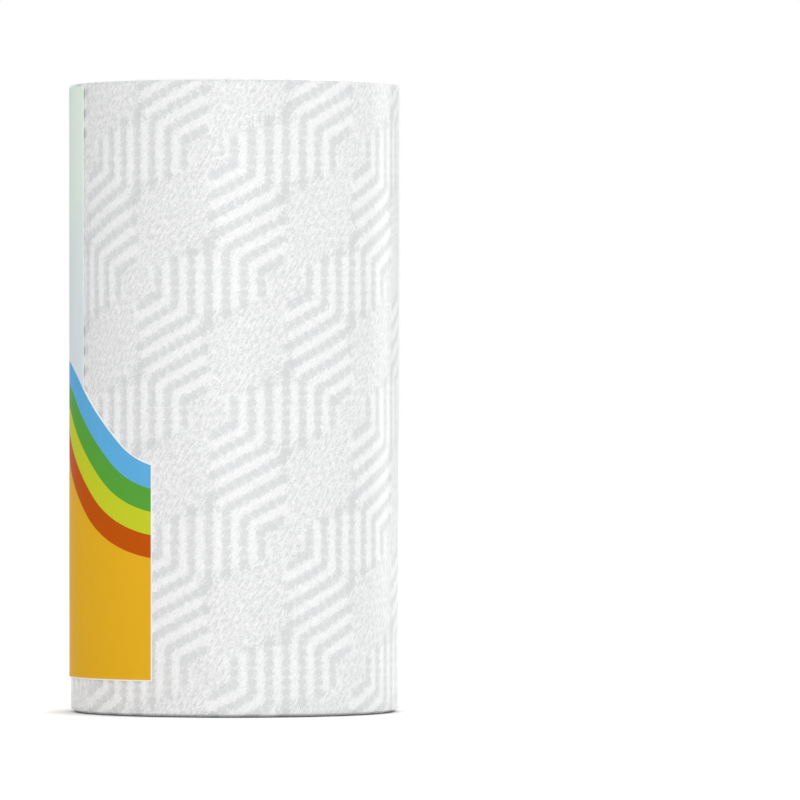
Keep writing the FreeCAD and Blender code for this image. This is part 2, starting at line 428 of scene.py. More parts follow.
def cell_place(towel, centre, way_round, height):
    """Places measured from the nearest group centre. Each row of cells shifts by half a cell."""
    across = way_round - towel.first_hexagon - centre[0]
    up = height - towel.hexagon_height - centre[1]
    row = np.round(up / towel.cell_rise)
    across = across - row * towel.cell_width / 2
    across = across - towel.cell_width * np.round(across / towel.cell_width)
    return across, up - row * towel.cell_rise


def embossed(towel, way_round, height):
    """How far each point is pressed in by the bars of dots, from 0 to 1."""
    pressed = np.zeros_like(way_round)
    for centre, angle in bar_groups(towel):
        across, up = cell_place(towel, centre, way_round, height)
        along = across * math.cos(angle) + up * math.sin(angle)
        aside = across * math.sin(angle) - up * math.cos(angle)
        bar = np.clip(np.round(aside / towel.bar_pitch), -BARS_ASIDE, BARS_ASIDE)
        half = towel.bar_length - towel.bar_step * np.abs(bar)
        dot = towel.dot_pitch * np.round(np.clip(along, -half, half) / towel.dot_pitch)
        beside = aside - bar * towel.bar_pitch
        distance = np.hypot(beside, along - dot)
        past_end = np.hypot(beside, np.maximum(np.abs(along) - half, 0))
        for away, depth in ((distance, 1.0), (past_end, towel.line_depth)):
            share = (away / towel.dot_radius - DOT_EDGE) / (DOT_MIDDLE - DOT_EDGE)
            share = np.clip(share, 0, 1)
            pressed = np.maximum(pressed, depth * share * share * (3 - 2 * share))
    return pressed


def relief(towel, way_round, height, columns, rows):
    """How far each point of the web stands out: dots pressed in, and the web swollen between."""
    pressed = embossed(towel, way_round, height).reshape(rows + 1, columns + 1)
    softened = pressed.copy()
    for run in range(SOFTENING_RUNS):
        softened[1:-1] = (softened[:-2] + softened[1:-1] + softened[2:]) / 3
        softened[:, 1:-1] = (softened[:, :-2] + softened[:, 1:-1] + softened[:, 2:]) / 3
    swell = towel.pillow_height * (1 - softened / softened.max())
    return (swell - towel.emboss_depth * pressed).ravel()


def cell_nodes(tree, towel, parts, centre, angle):
    """Places along and aside of a direction, measured from the nearest group centre."""
    across = reckon(tree, "SUBTRACT", parts["X"], towel.first_hexagon + centre[0])
    up = reckon(tree, "SUBTRACT", parts["Y"], towel.hexagon_height + centre[1])
    row = reckon(tree, "ROUND", reckon(tree, "DIVIDE", up, towel.cell_rise))
    half_cell = towel.cell_width / 2
    across = reckon(tree, "SUBTRACT", across, reckon(tree, "MULTIPLY", row, half_cell))
    across = reckon(tree, "WRAP", across, half_cell, -half_cell)
    up = reckon(tree, "SUBTRACT", up, reckon(tree, "MULTIPLY", row, towel.cell_rise))
    return turned_nodes(tree, across, up, angle)


def turned_nodes(tree, across, up, angle):
    """A place as its distance along and aside of a direction."""
    place = add_node(tree, "CombineXYZ", {0: across, 1: up}).outputs[0]
    inputs = {"Vector": place, "Angle": -angle}
    turned = add_node(tree, "VectorRotate", inputs, rotation_type="Z_AXIS").outputs[0]
    along, aside, depth = add_node(tree, "SeparateXYZ", {0: turned}).outputs
    return along, aside


def pattern_nodes(tree, towel):
    """The same pattern as shader nodes, from the piece's own map.

    Returns the bars, the fine strokes, the streaks of the tissue and where it has no bars.
    """
    place = add_node(tree, "UVMap", uv_map="unrolled").outputs["UV"]
    parts = add_node(tree, "SeparateXYZ", {0: place}).outputs
    ragged = noise(tree, object_place(tree), scale=1000.0, detail=2.0, roughness=0.7)
    ragged = reckon(tree, "MULTIPLY_ADD", ragged, RAGGED_REACH, -RAGGED_REACH / 2)
    masks = [
        bar_mask(tree, towel, *cell_nodes(tree, towel, parts, centre, angle), ragged)
        for centre, angle in bar_groups(towel)
    ]
    bars = reckon(tree, "MAXIMUM", *masks)

    near = []
    between, heart = (-towel.cell_width / 4, -towel.cell_rise / 2), (0, 0)
    for centre, reach in ((between, BETWEEN_REACH), (heart, HEART_REACH)):
        along, aside = cell_nodes(tree, towel, parts, centre, towel.stroke_angle)
        away = reckon(tree, "ADD", reckon(tree, "ABSOLUTE", along), reckon(tree, "ABSOLUTE", aside))
        near.append(stepped(tree, away, reach, reach - PLAIN_FADE))
    along, aside = turned_nodes(tree, parts["X"], parts["Y"], towel.stroke_angle)
    strokes = stroke_mask(tree, towel, along, aside, ragged)
    no_bars = reckon(tree, "MAXIMUM", *near)
    strokes = reckon(tree, "MULTIPLY", strokes, no_bars)
    drawn_out = reckon(tree, "MULTIPLY", along, STREAK_STRETCH)
    place = add_node(tree, "CombineXYZ", {0: drawn_out, 1: aside}).outputs[0]
    streaks = noise(tree, place, scale=1100.0, detail=3.0, roughness=0.6)
    return bars, strokes, streaks, no_bars


def bar_mask(tree, towel, along, aside, ragged):
    """Rows of round dots, joined by a fainter line, that get shorter away from the middle one."""
    bar = reckon(tree, "ROUND", reckon(tree, "DIVIDE", aside, towel.bar_pitch))
    bar = reckon(tree, "MINIMUM", reckon(tree, "MAXIMUM", bar, -BARS_ASIDE), BARS_ASIDE)
    away = reckon(tree, "ABSOLUTE", bar)
    half = reckon(tree, "MULTIPLY_ADD", away, -towel.bar_step, towel.bar_length)
    kept = reckon(tree, "MAXIMUM", reckon(tree, "MULTIPLY", half, -1.0), along)
    kept = reckon(tree, "MINIMUM", kept, half)
    dot = reckon(tree, "ROUND", reckon(tree, "DIVIDE", kept, towel.dot_pitch))
    over_dot = reckon(tree, "SUBTRACT", along, reckon(tree, "MULTIPLY", dot, towel.dot_pitch))
    past_end = reckon(tree, "SUBTRACT", along, kept)
    beside = reckon(tree, "SUBTRACT", aside, reckon(tree, "MULTIPLY", bar, towel.bar_pitch))
    squared = reckon(tree, "MULTIPLY", beside, beside)
    shares = []
    for over, depth in ((over_dot, 1.0), (past_end, towel.line_depth)):
        distance = reckon(tree, "SQRT", reckon(tree, "MULTIPLY_ADD", over, over, squared))
        distance = reckon(tree, "ADD", distance, ragged)
        edge, middle = towel.dot_radius * TINT_EDGE, towel.dot_radius * TINT_MIDDLE
        share = stepped(tree, distance, edge, middle)
        shares.append(reckon(tree, "MULTIPLY", share, depth))
    return reckon(tree, "MAXIMUM", *shares)


def stroke_mask(tree, towel, along, aside, ragged):
    """Rows of short fine strokes, each row shifted along the one beside it."""
    lane = reckon(tree, "ROUND", reckon(tree, "DIVIDE", aside, towel.stroke_pitch))
    shifted = reckon(tree, "MULTIPLY_ADD", lane, STROKE_SHIFT, along)
    over = reckon(tree, "WRAP", shifted, STROKE_STEP / 2, -STROKE_STEP / 2)
    beside = reckon(tree, "SUBTRACT", aside, reckon(tree, "MULTIPLY", lane, towel.stroke_pitch))
    frayed = reckon(tree, "MULTIPLY", ragged, STROKE_FRAY)
    beside = reckon(tree, "ADD", reckon(tree, "ABSOLUTE", beside), frayed)
    wide = stepped(tree, beside, *STROKE_SIDE)
    long = stepped(tree, reckon(tree, "ABSOLUTE", over), *STROKE_TIP)
    return reckon(tree, "MULTIPLY", wide, long)


def paper_material(towel):
    """Soft white tissue with the embossed pattern, fibres and a little mottling. The pattern's
    darker tint is partly pressed paper and partly painted shade in its hollows.
    """
    material, tree, output = new_material("embossed_paper")
    place = object_place(tree)
    bars, strokes, streaks, no_bars = pattern_nodes(tree, towel)
    fibre = noise(tree, place, scale=1500.0, detail=3.0, roughness=0.65)
    tissue = reckon(tree, "MULTIPLY", fibre, FIBRE_SHARE)
    tissue = reckon(tree, "MULTIPLY_ADD", streaks, STREAK_SHARE, tissue)
    tissue = reckon(tree, "SUBTRACT", tissue, TISSUE_LEVEL)
    plain = reckon(tree, "MULTIPLY_ADD", no_bars, 1 - TISSUE_ON_BARS, TISSUE_ON_BARS)
    tissue = reckon(tree, "MULTIPLY", tissue, plain)
    # Painted shade, besides the pressed paper's grey: the bars and strokes darken the paper's
    # colour
    pressed = reckon(tree, "MULTIPLY", bars, BAR_TINT)
    pressed = reckon(tree, "MULTIPLY_ADD", strokes, STROKE_TINT, pressed)
    pressed = reckon(tree, "ADD", pressed, tissue)
    pressed = reckon(tree, "MINIMUM", reckon(tree, "MAXIMUM", pressed, 0.0), DEEPEST_TINT)
    tint = mixed(tree, pressed, tuple(towel.paper), tuple(towel.pressed))
    height = reckon(tree, "MULTIPLY", bars, -BAR_DROP)
    height = reckon(tree, "MULTIPLY_ADD", strokes, -STROKE_DROP, height)
    height = reckon(tree, "ADD", height, tissue)
    paper = add_node(tree, "BsdfPrincipled", {
        "Base Color": tint, "Normal": bumped(tree, height, distance=0.1 * MM), **MATT_PAPER,
    })
    show(tree, output, paper)
    return material


class ROLL_OT_outer_turn(bpy.types.Operator):
    """Model the embossed outer turn of the towel, from under its tail round to the tail"""

    bl_idname = "towel_roll.outer_turn"
    bl_label = "Outer turn"

    def execute(self, context):
        towel = context.scene.towel
        columns, rows = towel.columns, towel.rows
        web, share, rise = new_sheet("towel_outer_turn", columns, rows)
        turned = share * TURN
        angle = TAIL_ANGLE + turned
        height = TOWEL_LOW.z + rise * (TOWEL_HIGH.z - TOWEL_LOW.z)
        tail_radius, turns = wound_size(towel)
        way_round = (angle - FRONT_ANGLE - TURN) * tail_radius
        pitch = (tail_radius - CORE_RADIUS) / turns
        spiral = tail_radius - pitch * (1 - turned / TURN)
        outwards = relief(towel, way_round, height, columns, rows) - towel.pillow_height
        tucked = rounding(height - TOWEL_LOW.z, towel.foot_rounding)
        tucked += rounding(TOWEL_HIGH.z - height, towel.head_rounding)
        wrap_sheet(web, spiral + outwards - tucked, angle, height)
        self.map_web(web, way_round, height)
        self.close_web(web, towel, spiral[: columns + 1] - pitch, angle[: columns + 1])
        edit(web, face_outwards)
        finish_piece(web, paper_material(towel), "towel", "towel_roll")
        return {"FINISHED"}

    @staticmethod
    def map_web(web, way_round, height):
        """Writes the web's unrolled map, in metres."""
        layer = web.data.uv_layers[0]
        layer.name = "unrolled"
        corners = np.empty(len(web.data.loops), dtype=int)
        web.data.loops.foreach_get("vertex_index", corners)
        places = np.column_stack([way_round, height])[corners]
        layer.uv.foreach_set("vector", places.ravel())

    @staticmethod
    def close_web(web, towel, radii, angles):
        """Gives the web its inner side and its cut edges, so that it is one closed solid."""
        mesh = bmesh.new()
        mesh.from_mesh(web.data)
        mesh.verts.ensure_lookup_table()
        wide, last_row = towel.columns + 1, towel.rows * (towel.columns + 1)
        levels = [
            (TOWEL_LOW.z, towel.foot_rounding + towel.pillow_height),
            (TOWEL_LOW.z + towel.foot_rounding, 0),
            (TOWEL_HIGH.z - towel.head_rounding, 0),
            (TOWEL_HIGH.z, towel.head_rounding + towel.pillow_height),
        ]
        bottom = [mesh.verts[column] for column in range(wide)]
        top = [mesh.verts[last_row + column] for column in range(wide)]
        rings = [bottom]
        rings += [
            [mesh.verts.new(((r - drawn_in) * math.cos(a), (r - drawn_in) * math.sin(a), level))
             for r, a in zip(radii, angles)]
            for level, drawn_in in levels
        ]
        rings.append(top)
        for lower, upper in zip(rings, rings[1:]):
            for left in range(towel.columns):
                mesh.faces.new([lower[left], lower[left + 1], upper[left + 1], upper[left]])
        mesh.verts.ensure_lookup_table()
        for column in (0, towel.columns):
            edge = [mesh.verts[row * wide + column] for row in range(towel.rows + 1)]
            mesh.faces.new([*edge, *(ring[column] for ring in rings[-2:0:-1])])
        mesh.to_mesh(web.data)
        mesh.free()


def wound_size(towel):
    """The roll's radius at its tail, and how many whole turns fill it from the core to there."""
    radius = FILM_RADIUS - towel.film_gap
    return radius, round((radius - CORE_RADIUS) / towel.ply_pitch)


def rounding(inwards, radius):
    """How far a rounded edge draws in, at a distance from the roll's end."""
    left = np.clip(1 - inwards / radius, 0, 1)
    return radius * (1 - np.sqrt(1 - left**2))


def edge_material(towel):
    """The cut edges of the turns: matt white, with painted shade in darker lines along the turns,
    where air lies between them.
    """
    material, tree, output = new_material("paper_edges")
    place = object_place(tree)
    ring = add_node(tree, "CombineXYZ", {0: axis_distance(tree, place)}).outputs[0]
    # Painted shade: rings of darker colour along the turns, for the air between them; the fibres
    # and patches are the paper's own uneven tone
    painted_gap_shade = noise(tree, ring, scale=1500.0, detail=1.0)
    patch = noise(tree, place, scale=60.0)
    fibre = noise(tree, place, scale=1800.0, detail=3.0, roughness=0.7)
    gap_shade_share, fibre_share, patch_share = 0.9, 0.5, 0.3
    tone_and_gap_shade = reckon(tree, "MULTIPLY", fibre, fibre_share)
    tone_and_gap_shade = reckon(tree, "MULTIPLY_ADD", painted_gap_shade, gap_shade_share, tone_and_gap_shade)
    tone_and_gap_shade = reckon(tree, "MULTIPLY_ADD", patch, patch_share, tone_and_gap_shade)
    tone_and_gap_shade = stepped(tree, tone_and_gap_shade, start=0.45, end=1.25)
    tint = mixed(tree, tone_and_gap_shade, tuple(towel.pressed), tuple(towel.paper))
    paper = add_node(tree, "BsdfPrincipled", {
        "Base Color": tint, "Normal": bumped(tree, fibre, distance=0.15 * MM), **MATT_PAPER,
    })
    show(tree, output, paper)
    return material


# The outer turn, and the turn whose room its embossing takes
TURNS_OUTSIDE = 2


class ROLL_OT_wound_turns(bpy.types.Operator):
    """Model the turns inside the outer one, with every turn's edge showing at both ends"""

    bl_idname = "towel_roll.wound_turns"
    bl_label = "Wound turns"

    def execute(self, context):
        towel = context.scene.towel
        tail_radius, turns = wound_size(towel)
        pitch = (tail_radius - CORE_RADIUS) / turns
        turns -= TURNS_OUTSIDE
        segments = towel.end_segments
        edges, along, across = new_sheet("towel_wound_turns", turns * segments, 2)
        turned = along * turns * TURN
        radius = CORE_RADIUS + pitch * (turned / TURN + across)
        middle = (TOWEL_LOW.z + TOWEL_HIGH.z) / 2
        half = TOWEL_HIGH.z - middle
        crest = np.isclose(across, 0.5)
        turned_at = turned + TURN * across
        uneven = wave_noise(turned_at, towel.edge_wander)
        height = half - towel.edge_wander - uneven - np.where(crest, 0, towel.edge_groove)
        wrap_sheet(edges, radius, TAIL_ANGLE + turned, height)
        edit(edges, merge_doubles, self.draw_down)
        over_z = (False, False, True)
        apply_modifier(edges, "MIRROR", use_axis=over_z, merge_threshold=MERGE_DISTANCE)
        self.draw_in_ends(edges, towel, tail_radius - pitch)
        edges.data.transform(Matrix.Translation((0, 0, middle)))
        edit(edges, merge_doubles, face_outwards)
        finish_piece(edges, edge_material(towel), "towel", "towel_roll")
        return {"FINISHED"}

    @staticmethod
    def draw_in_ends(edges, towel, outer_radius):
        """Draws the outer turns' edges in at both ends, as far as the web round them is."""
        for point in edges.data.vertices:
            place = point.co
            radius = math.hypot(place.x, place.y)
            reach = max(0.0, 1 - (outer_radius - radius) / towel.rounding_reach)
            drawn_in = towel.foot_rounding if place.z < 0 else towel.head_rounding
            if abs(place.z) < MERGE_DISTANCE:
                drawn_in = 0
            share = 1 - drawn_in * reach**2 / radius
            place.x, place.y = place.x * share, place.y * share

    @staticmethod
    def draw_down():
        """Extrudes the inner and the outer boundary down to the middle of the roll."""
        bpy.ops.mesh.select_all(action="DESELECT")
        bpy.ops.mesh.select_mode(type="EDGE")
        bpy.ops.mesh.select_non_manifold()
        bpy.ops.mesh.extrude_edges_move()
        bpy.ops.transform.resize(value=(1, 1, 0), center_override=(0, 0, 0))


def wave_noise(turned, amount):
    """A smooth uneven value along the spiral, the same at each run."""
    draw = np.random.default_rng(seed=11)
    waves_in_a_turn, fading = (0.37, 0.83, 1.71, 2.9, 5.3, 9.7), 0.6
    total = np.zeros_like(turned)
    for waves in waves_in_a_turn:
        total += np.sin(turned * waves + draw.uniform(0, TURN)) / (1 + waves) ** fading
    return amount * total / np.abs(total).max()


# The core


def board_material(board):
    """Grey-brown board, with the lines where its wound plies meet."""
    material, tree, output = new_material("core_board")
    place = object_place(tree)
    parts = add_node(tree, "SeparateXYZ", {0: place}).outputs
    angle = reckon(tree, "DIVIDE", reckon(tree, "ARCTAN2", parts["Y"], parts["X"]), TURN)
    climb = reckon(tree, "SUBTRACT", reckon(tree, "DIVIDE", parts["Z"], board.ply_rise), angle)
    seam = reckon(tree, "ABSOLUTE", reckon(tree, "WRAP", climb, 0.5, -0.5))
    line = stepped(tree, seam, start=0.012, end=0.004)
    fibre = noise(tree, place, scale=700.0, detail=4.0, roughness=0.7)
    patch = noise(tree, place, scale=90.0)
    fibre_share, patch_share, line_share, level = 0.6, 0.3, 0.6, 0.2
    darkening = 0.72
    dark = tuple(value * darkening for value in board.board)
    mottled = reckon(tree, "MULTIPLY", patch, patch_share)
    mottled = reckon(tree, "MULTIPLY_ADD", fibre, fibre_share, mottled)
    mottled = reckon(tree, "SUBTRACT", mottled, level)
    mottled = reckon(tree, "MULTIPLY_ADD", line, line_share, mottled)
    tint = mixed(tree, mottled, tuple(board.board), dark)
    height = reckon(tree, "MULTIPLY_ADD", line, -1.0, fibre)
    cardboard = add_node(tree, "BsdfPrincipled", {
        "Base Color": tint, "Roughness": 0.85, "Specular IOR Level": 0.2,
        "Normal": bumped(tree, height, distance=0.12 * MM),
    })
    show(tree, output, cardboard)
    return material


class ROLL_OT_core(bpy.types.Operator):
    """Copy the core tube's shape, soften its cut ends and give it its board"""

    bl_idname = "towel_roll.core"
    bl_label = "Core tube"

    def execute(self, context):
        core = node_copy("core_tube", "core_board_tube")
        edit(core, merge_doubles)
        apply_modifier(core, "BEVEL", width=0.2 * MM, segments=2, angle_limit=math.radians(50))
        finish_piece(core, board_material(context.scene.board), "core_board", "core_tube")
        return {"FINISHED"}


def node_copy(node, name):
    """A copy of a node with a mesh of its own."""
    copy = bpy.data.objects.new(name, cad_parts[node].data.copy())
    copy.data.name = name
    bpy.context.scene.collection.objects.link(copy)
    return copy


# The film and its print

FILM_COLUMNS = 600

# The stations up the film's section: lap and turn at the foot, side, turn and lap at the head
FOOT_LAP, FOOT_TURN, SIDE, HEAD_TURN, HEAD_LAP = 15, 9, 26, 7, 17
LIP_START, LIP_MIDDLE = 0.94, 0.97
SEAM_EDGE = 1.0 * MM

# The slack's waves, each with its size, waves round the roll, slant up the roll and start
SLACK_WAVES = ((1.0, 3, 5.5, 0.6), (0.7, 5, -8.3, 2.0), (0.5, 2, 15.0, 0.0))
# At each end the film lies tight over one of so many parts of its height
TIGHT_PARTS = 9

# The waves in the opening's edge, and the least and most of each one's size
OPENING_WAVES = (2, 3, 5, 8, 13)
OPENING_SIZES = (0.4, 1)

# The gathers: waves that bend them, then ridges, creases and ripples, each with its share
BENDS = ((0.03, 7, 1.0), (0.02, 17, 0.0))
RIDGES, RIDGE_SHARE, RIDGE_TWIST = 19, 0.5, 0.4
CREASES, CREASE_SHARE = 33.5, 0.3
RIPPLES, RIPPLE_SHARE = 59, 0.2
EVEN_SHARE, UNEVEN_WAVES, UNEVEN_START = 0.65, 5, 2.0
GATHER_POWER, GATHER_FLOOR = 1.7, 0.25

# The printed sheets' faces, and how an edge of a printed node is read
BAND_ROWS, FIELD_ROWS, PRINT_COLUMNS = 4, 60, 170
EDGE_FACING = 0.3
ANGLE_DIGITS = 4

FILM_SHINE = (0.97, 0.98, 0.99, 1)
INK_SHEEN = {"Roughness": 0.35, "IOR": 1.1, "Specular IOR Level": 0.12}
WHITE_INK = linear(250, 250, 247)


def film_material(film):
    """Thin clear film: what is behind it shows, under a soft gloss that grows at the edges."""
    material, tree, output = new_material("clear_film")
    place = object_place(tree)
    ripple = noise(tree, place, scale=45.0, detail=1.0)
    normal = bumped(tree, ripple, distance=0.35 * MM)
    gloss = add_node(tree, "BsdfPrincipled", {
        "Base Color": FILM_SHINE, "Metallic": 1.0, "Roughness": film.gloss, "Normal": normal,
    })
    clear = add_node(tree, "BsdfTransparent")
    facing = add_node(tree, "LayerWeight", {"Blend": 0.5, "Normal": normal}).outputs["Facing"]
    edge = reckon(tree, "POWER", facing, film.edge_power)
    radius = axis_distance(tree, place)
    rim = FILM_RADIUS - film.head_radius
    gathered = stepped(tree, radius, rim, OPENING_RADIUS)
    side = stepped(tree, radius, rim, FILM_RADIUS - film.slack)
    outline = reckon(tree, "MULTIPLY", edge, side)
    cover = reckon(tree, "MULTIPLY_ADD", gathered, film.end_cover, film.cover)
    cover = reckon(tree, "MULTIPLY_ADD", outline, film.edge_cover, cover)
    both = add_node(tree, "MixShader", {0: cover, 1: clear.outputs[0], 2: gloss.outputs[0]})
    show(tree, output, both)
    return material


def sunk_film(film, angle, height):
    """How far the film's side sinks in between its tight places."""
    rise = (height - FILM_LOW.z) / (FILM_HIGH.z - FILM_LOW.z)
    waves = sum(
        size * np.sin(count * angle + slant * rise + start)
        for size, count, slant, start in SLACK_WAVES
    )
    largest = sum(size for size, *place in SLACK_WAVES)
    away_from_rims = np.clip(rise * TIGHT_PARTS, 0, 1) * np.clip((1 - rise) * TIGHT_PARTS, 0, 1)
    return film.slack * (0.5 + waves / (2 * largest)) * away_from_rims


def gathers(angle, reach):
    """The height of the drawn-in film's folds, at a share of the way to the opening."""
    bent = sum((size * np.sin(count * angle + start) for size, count, start in BENDS), angle)
    folds = RIDGE_SHARE * (1 - np.abs(np.sin(RIDGES * bent + RIDGE_TWIST * reach)))
    folds = folds + CREASE_SHARE * (1 - np.abs(np.sin(CREASES * bent)))
    folds = folds + RIPPLE_SHARE * np.sin(RIPPLES * bent)
    uneven = (1 - EVEN_SHARE) * np.sin(UNEVEN_WAVES * angle + UNEVEN_START)
    folds = folds * (EVEN_SHARE + uneven)
    return reach**GATHER_POWER * (GATHER_FLOOR + (1 - GATHER_FLOOR) * folds)


class ROLL_OT_film(bpy.types.Operator):
    """Model the clear film: tight round the side, turned over the ends and puckered there"""

    bl_idname = "towel_roll.film"
    bl_label = "Clear film"

    def execute(self, context):
        film = context.scene.film
        low, high = FILM_LOW.z + film.thickness, FILM_HIGH.z
        profile = self.profile(film, low, high)
        wrap, share, along = new_sheet("film_wrap", FILM_COLUMNS, len(profile) - 1)
        angle = PRINT_ANGLE + share * TURN
        stations = np.round(along * (len(profile) - 1)).astype(int)
        radius, height, reach = np.array(profile)[stations].T
        draw = np.random.default_rng(seed=5)
        edge = sum(
            draw.uniform(*OPENING_SIZES) * np.sin(waves * angle + draw.uniform(0, TURN)) / waves
            for waves in OPENING_WAVES
        )
        top = height > (low + high) / 2
        lift = np.where(top, film.pucker, film.foot_pucker) * gathers(angle, reach)
        stands = np.clip((reach - LIP_START) / (1 - LIP_START), 0, 1)
        lift = lift + np.where(top, film.lip, 0) * stands
        radius = radius + film.wander * reach**2 * edge
        on_side = reach == 0
        radius = radius - sunk_film(film, angle, height) * on_side
        radius = radius + self.seam(film, angle) * on_side
        wrap_sheet(wrap, radius, angle, height + lift)
        edit(wrap, merge_doubles, face_outwards)
        apply_modifier(wrap, "SOLIDIFY", thickness=film.thickness, offset=-1)
        finish_piece(wrap, film_material(film), "clear_film", "film_sleeve")
        return {"FINISHED"}

    @staticmethod
    def profile(film, low, high):
        """Stations from the lower opening to the upper: radius, height and share of the lap."""
        stations = []
        for share in np.linspace(1, 0, FOOT_LAP)[:-1]:
            corner = FILM_RADIUS - film.foot_radius
            radius = corner + (OPENING_RADIUS - corner) * share
            stations.append((radius, low, share))
        for turn in np.linspace(0, TURN / 4, FOOT_TURN):
            radius = FILM_RADIUS - film.foot_radius * (1 - math.sin(turn))
            stations.append((radius, low + film.foot_radius * (1 - math.cos(turn)), 0.0))
        for share in np.linspace(0, 1, SIDE)[1:-1]:
            start, end = low + film.foot_radius, high - film.head_radius
            stations.append((FILM_RADIUS, start + (end - start) * share, 0.0))
        for turn in np.linspace(0, TURN / 4, HEAD_TURN):
            radius = FILM_RADIUS - film.head_radius * (1 - math.cos(turn))
            stations.append((radius, high - film.head_radius * (1 - math.sin(turn)), 0.0))
        for share in (*np.linspace(0, LIP_START, HEAD_LAP)[1:], LIP_MIDDLE, 1.0):
            corner = FILM_RADIUS - film.head_radius
            radius = corner + (OPENING_RADIUS - corner) * share
            stations.append((radius, high, share))
        return stations

    @staticmethod
    def seam(film, angle):
        """The lap seam's height over the film, at the back."""
        way = np.abs((angle - BACK_ANGLE + TURN / 2) % TURN - TURN / 2) * FILM_RADIUS
        step = np.clip((film.seam_width / 2 - way) / SEAM_EDGE + 0.5, 0, 1)
        return film.seam_height * step


def ink_material(name, ink):
    """Ink under a faint sheen, a little uneven in its cover and its surface."""
    material, tree, output = new_material(name)
    place = object_place(tree)
    cover = noise(tree, place, scale=260.0, detail=3.0, roughness=0.6)
    darkening = 0.95
    deep = tuple(value * darkening for value in ink)
    tint = mixed(tree, cover, tuple(ink), deep)
    ripple = noise(tree, place, scale=45.0, detail=1.0)
    print_ink = add_node(tree, "BsdfPrincipled", {
        "Base Color": tint, "Normal": bumped(tree, ripple, distance=0.2 * MM), **INK_SHEEN,
    })
    show(tree, output, print_ink)
    return material


def pale_material(ink):
    """Pale ink, mint above and blue below."""
    material, tree, output = new_material("pale_ink")
    place = object_place(tree)
    parts = add_node(tree, "SeparateXYZ", {0: place}).outputs
    panel_low, panel_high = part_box("pale_panel")
    drift, sky_ends, mint_starts = 60 * MM, panel_low.z + 40 * MM, panel_high.z + 20 * MM
    rise = reckon(tree, "MULTIPLY_ADD", noise(tree, place, scale=30.0), drift, parts["Z"])
    rise = stepped(tree, rise, sky_ends, mint_starts)
    tint = mixed(tree, rise, tuple(ink.sky), tuple(ink.mint))
    pale = add_node(tree, "BsdfPrincipled", {"Base Color": tint, **INK_SHEEN})
    show(tree, output, pale)
    return material


def edge_of(node, side):
    """A printed field's upper or lower edge (side 1 or -1), as angles and heights."""
    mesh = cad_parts[node].data
    faces = [face for face in mesh.polygons if face.normal.z * side > EDGE_FACING]
    points = {index for face in faces for index in face.vertices}
    places = {
        round(math.atan2(point.y, point.x) % TURN, ANGLE_DIGITS): point.z
        for point in (mesh.vertices[index].co for index in points)
    }
    return np.array(sorted(places.items())).T


class ROLL_OT_print(bpy.types.Operator):
    """Model the printed fields on the film, over a white ground that shows a little round them"""

    bl_idname = "towel_roll.print"
    bl_label = "Print"

    def execute(self, context):
        film, ink = context.scene.film, context.scene.ink
        bands = {
            "blue_band": ink.blue, "green_band": ink.green, "lime_band": ink.lime,
            "red_band": ink.red,
        }
        for node, tint in bands.items():
            self.field(film, node, BAND_ROWS, self.ink_of(node, tint), film.ink_height)
        amber, pale = self.ink_of("amber_field", ink.amber), (pale_material(ink), "pale_ink")
        self.field(film, "amber_field", FIELD_ROWS, amber, film.ink_height)
        self.field(film, "pale_panel", FIELD_ROWS, pale, film.ground_depth)
        self.ground(film)
        return {"FINISHED"}

    @staticmethod
    def ink_of(node, tint):
        """A field's ink and its name."""
        name = node.split("_")[0] + "_ink"
        return ink_material(name, tuple(tint)), name

    def field(self, film, node, rows, ink, depth):
        """One printed field, from its lower edge to its upper edge."""
        upper, lower = edge_of(node, 1), edge_of(node, -1)
        ends = upper[0].min(), upper[0].max()
        name, height = "printed_" + node, film.ink_height
        printed = self.printed_sheet(film, name, rows, ends, upper, lower, height, depth)
        finish_piece(printed, *ink, node)

    def ground(self, film):
        """The white ink under the colours, a little larger than they are."""
        upper, lower = edge_of("blue_band", 1), edge_of("amber_field", -1)
        margin = film.keyline
        aside = margin / FILM_RADIUS
        steep = np.gradient(upper[1], upper[0] * FILM_RADIUS)
        upper = np.array([upper[0], upper[1] + margin * np.hypot(1, steep)])
        lower = np.array([lower[0], lower[1] - margin])
        ends = upper[0].min() - aside, upper[0].max() + aside
        white = self.printed_sheet(film, "printed_white_ground", FIELD_ROWS, ends, upper, lower,
                                   film.ink_height / 2, film.ground_depth)
        finish_piece(white, ink_material("white_ink", WHITE_INK), "amber_ink", "amber_field")

    @staticmethod
    def printed_sheet(film, name, rows, ends, upper, lower, height, depth):
        """A thin closed sheet of ink that follows the film between two edges."""
        printed, share, rise = new_sheet(name, PRINT_COLUMNS, rows)
        angle = ends[0] + (ends[1] - ends[0]) * share
        top, foot = np.interp(angle, *upper), np.interp(angle, *lower)
        level = foot + (top - foot) * rise
        radius = FILM_RADIUS + height - sunk_film(film, angle, level)
        wrap_sheet(printed, radius, angle, level)
        edit(printed, face_outwards)
        apply_modifier(printed, "SOLIDIFY", thickness=depth, offset=-1)
        edit(printed, face_outwards)
        return printed


# The studio

FLOOR_SIZE = 60
FLOOR_COLOUR = (0.9, 0.9, 0.9, 1)
SENSOR_WIDTH = 36
SIGHT = 100

# Each lamp's place and its width and height
LAMPS = {
    "key_lamp": ((2.25, -0.82, 0.6), (1.6, 1.6)),
    "front_lamp": ((-0.1, -4.2, 0.9), (2.4, 2.4)),
    "rim_lamp": ((1.3, 0.85, 0.4), (0.6, 1.2)),
    "top_lamp": ((0.5, 1.3, 1.6), (0.5, 1.6)),
}


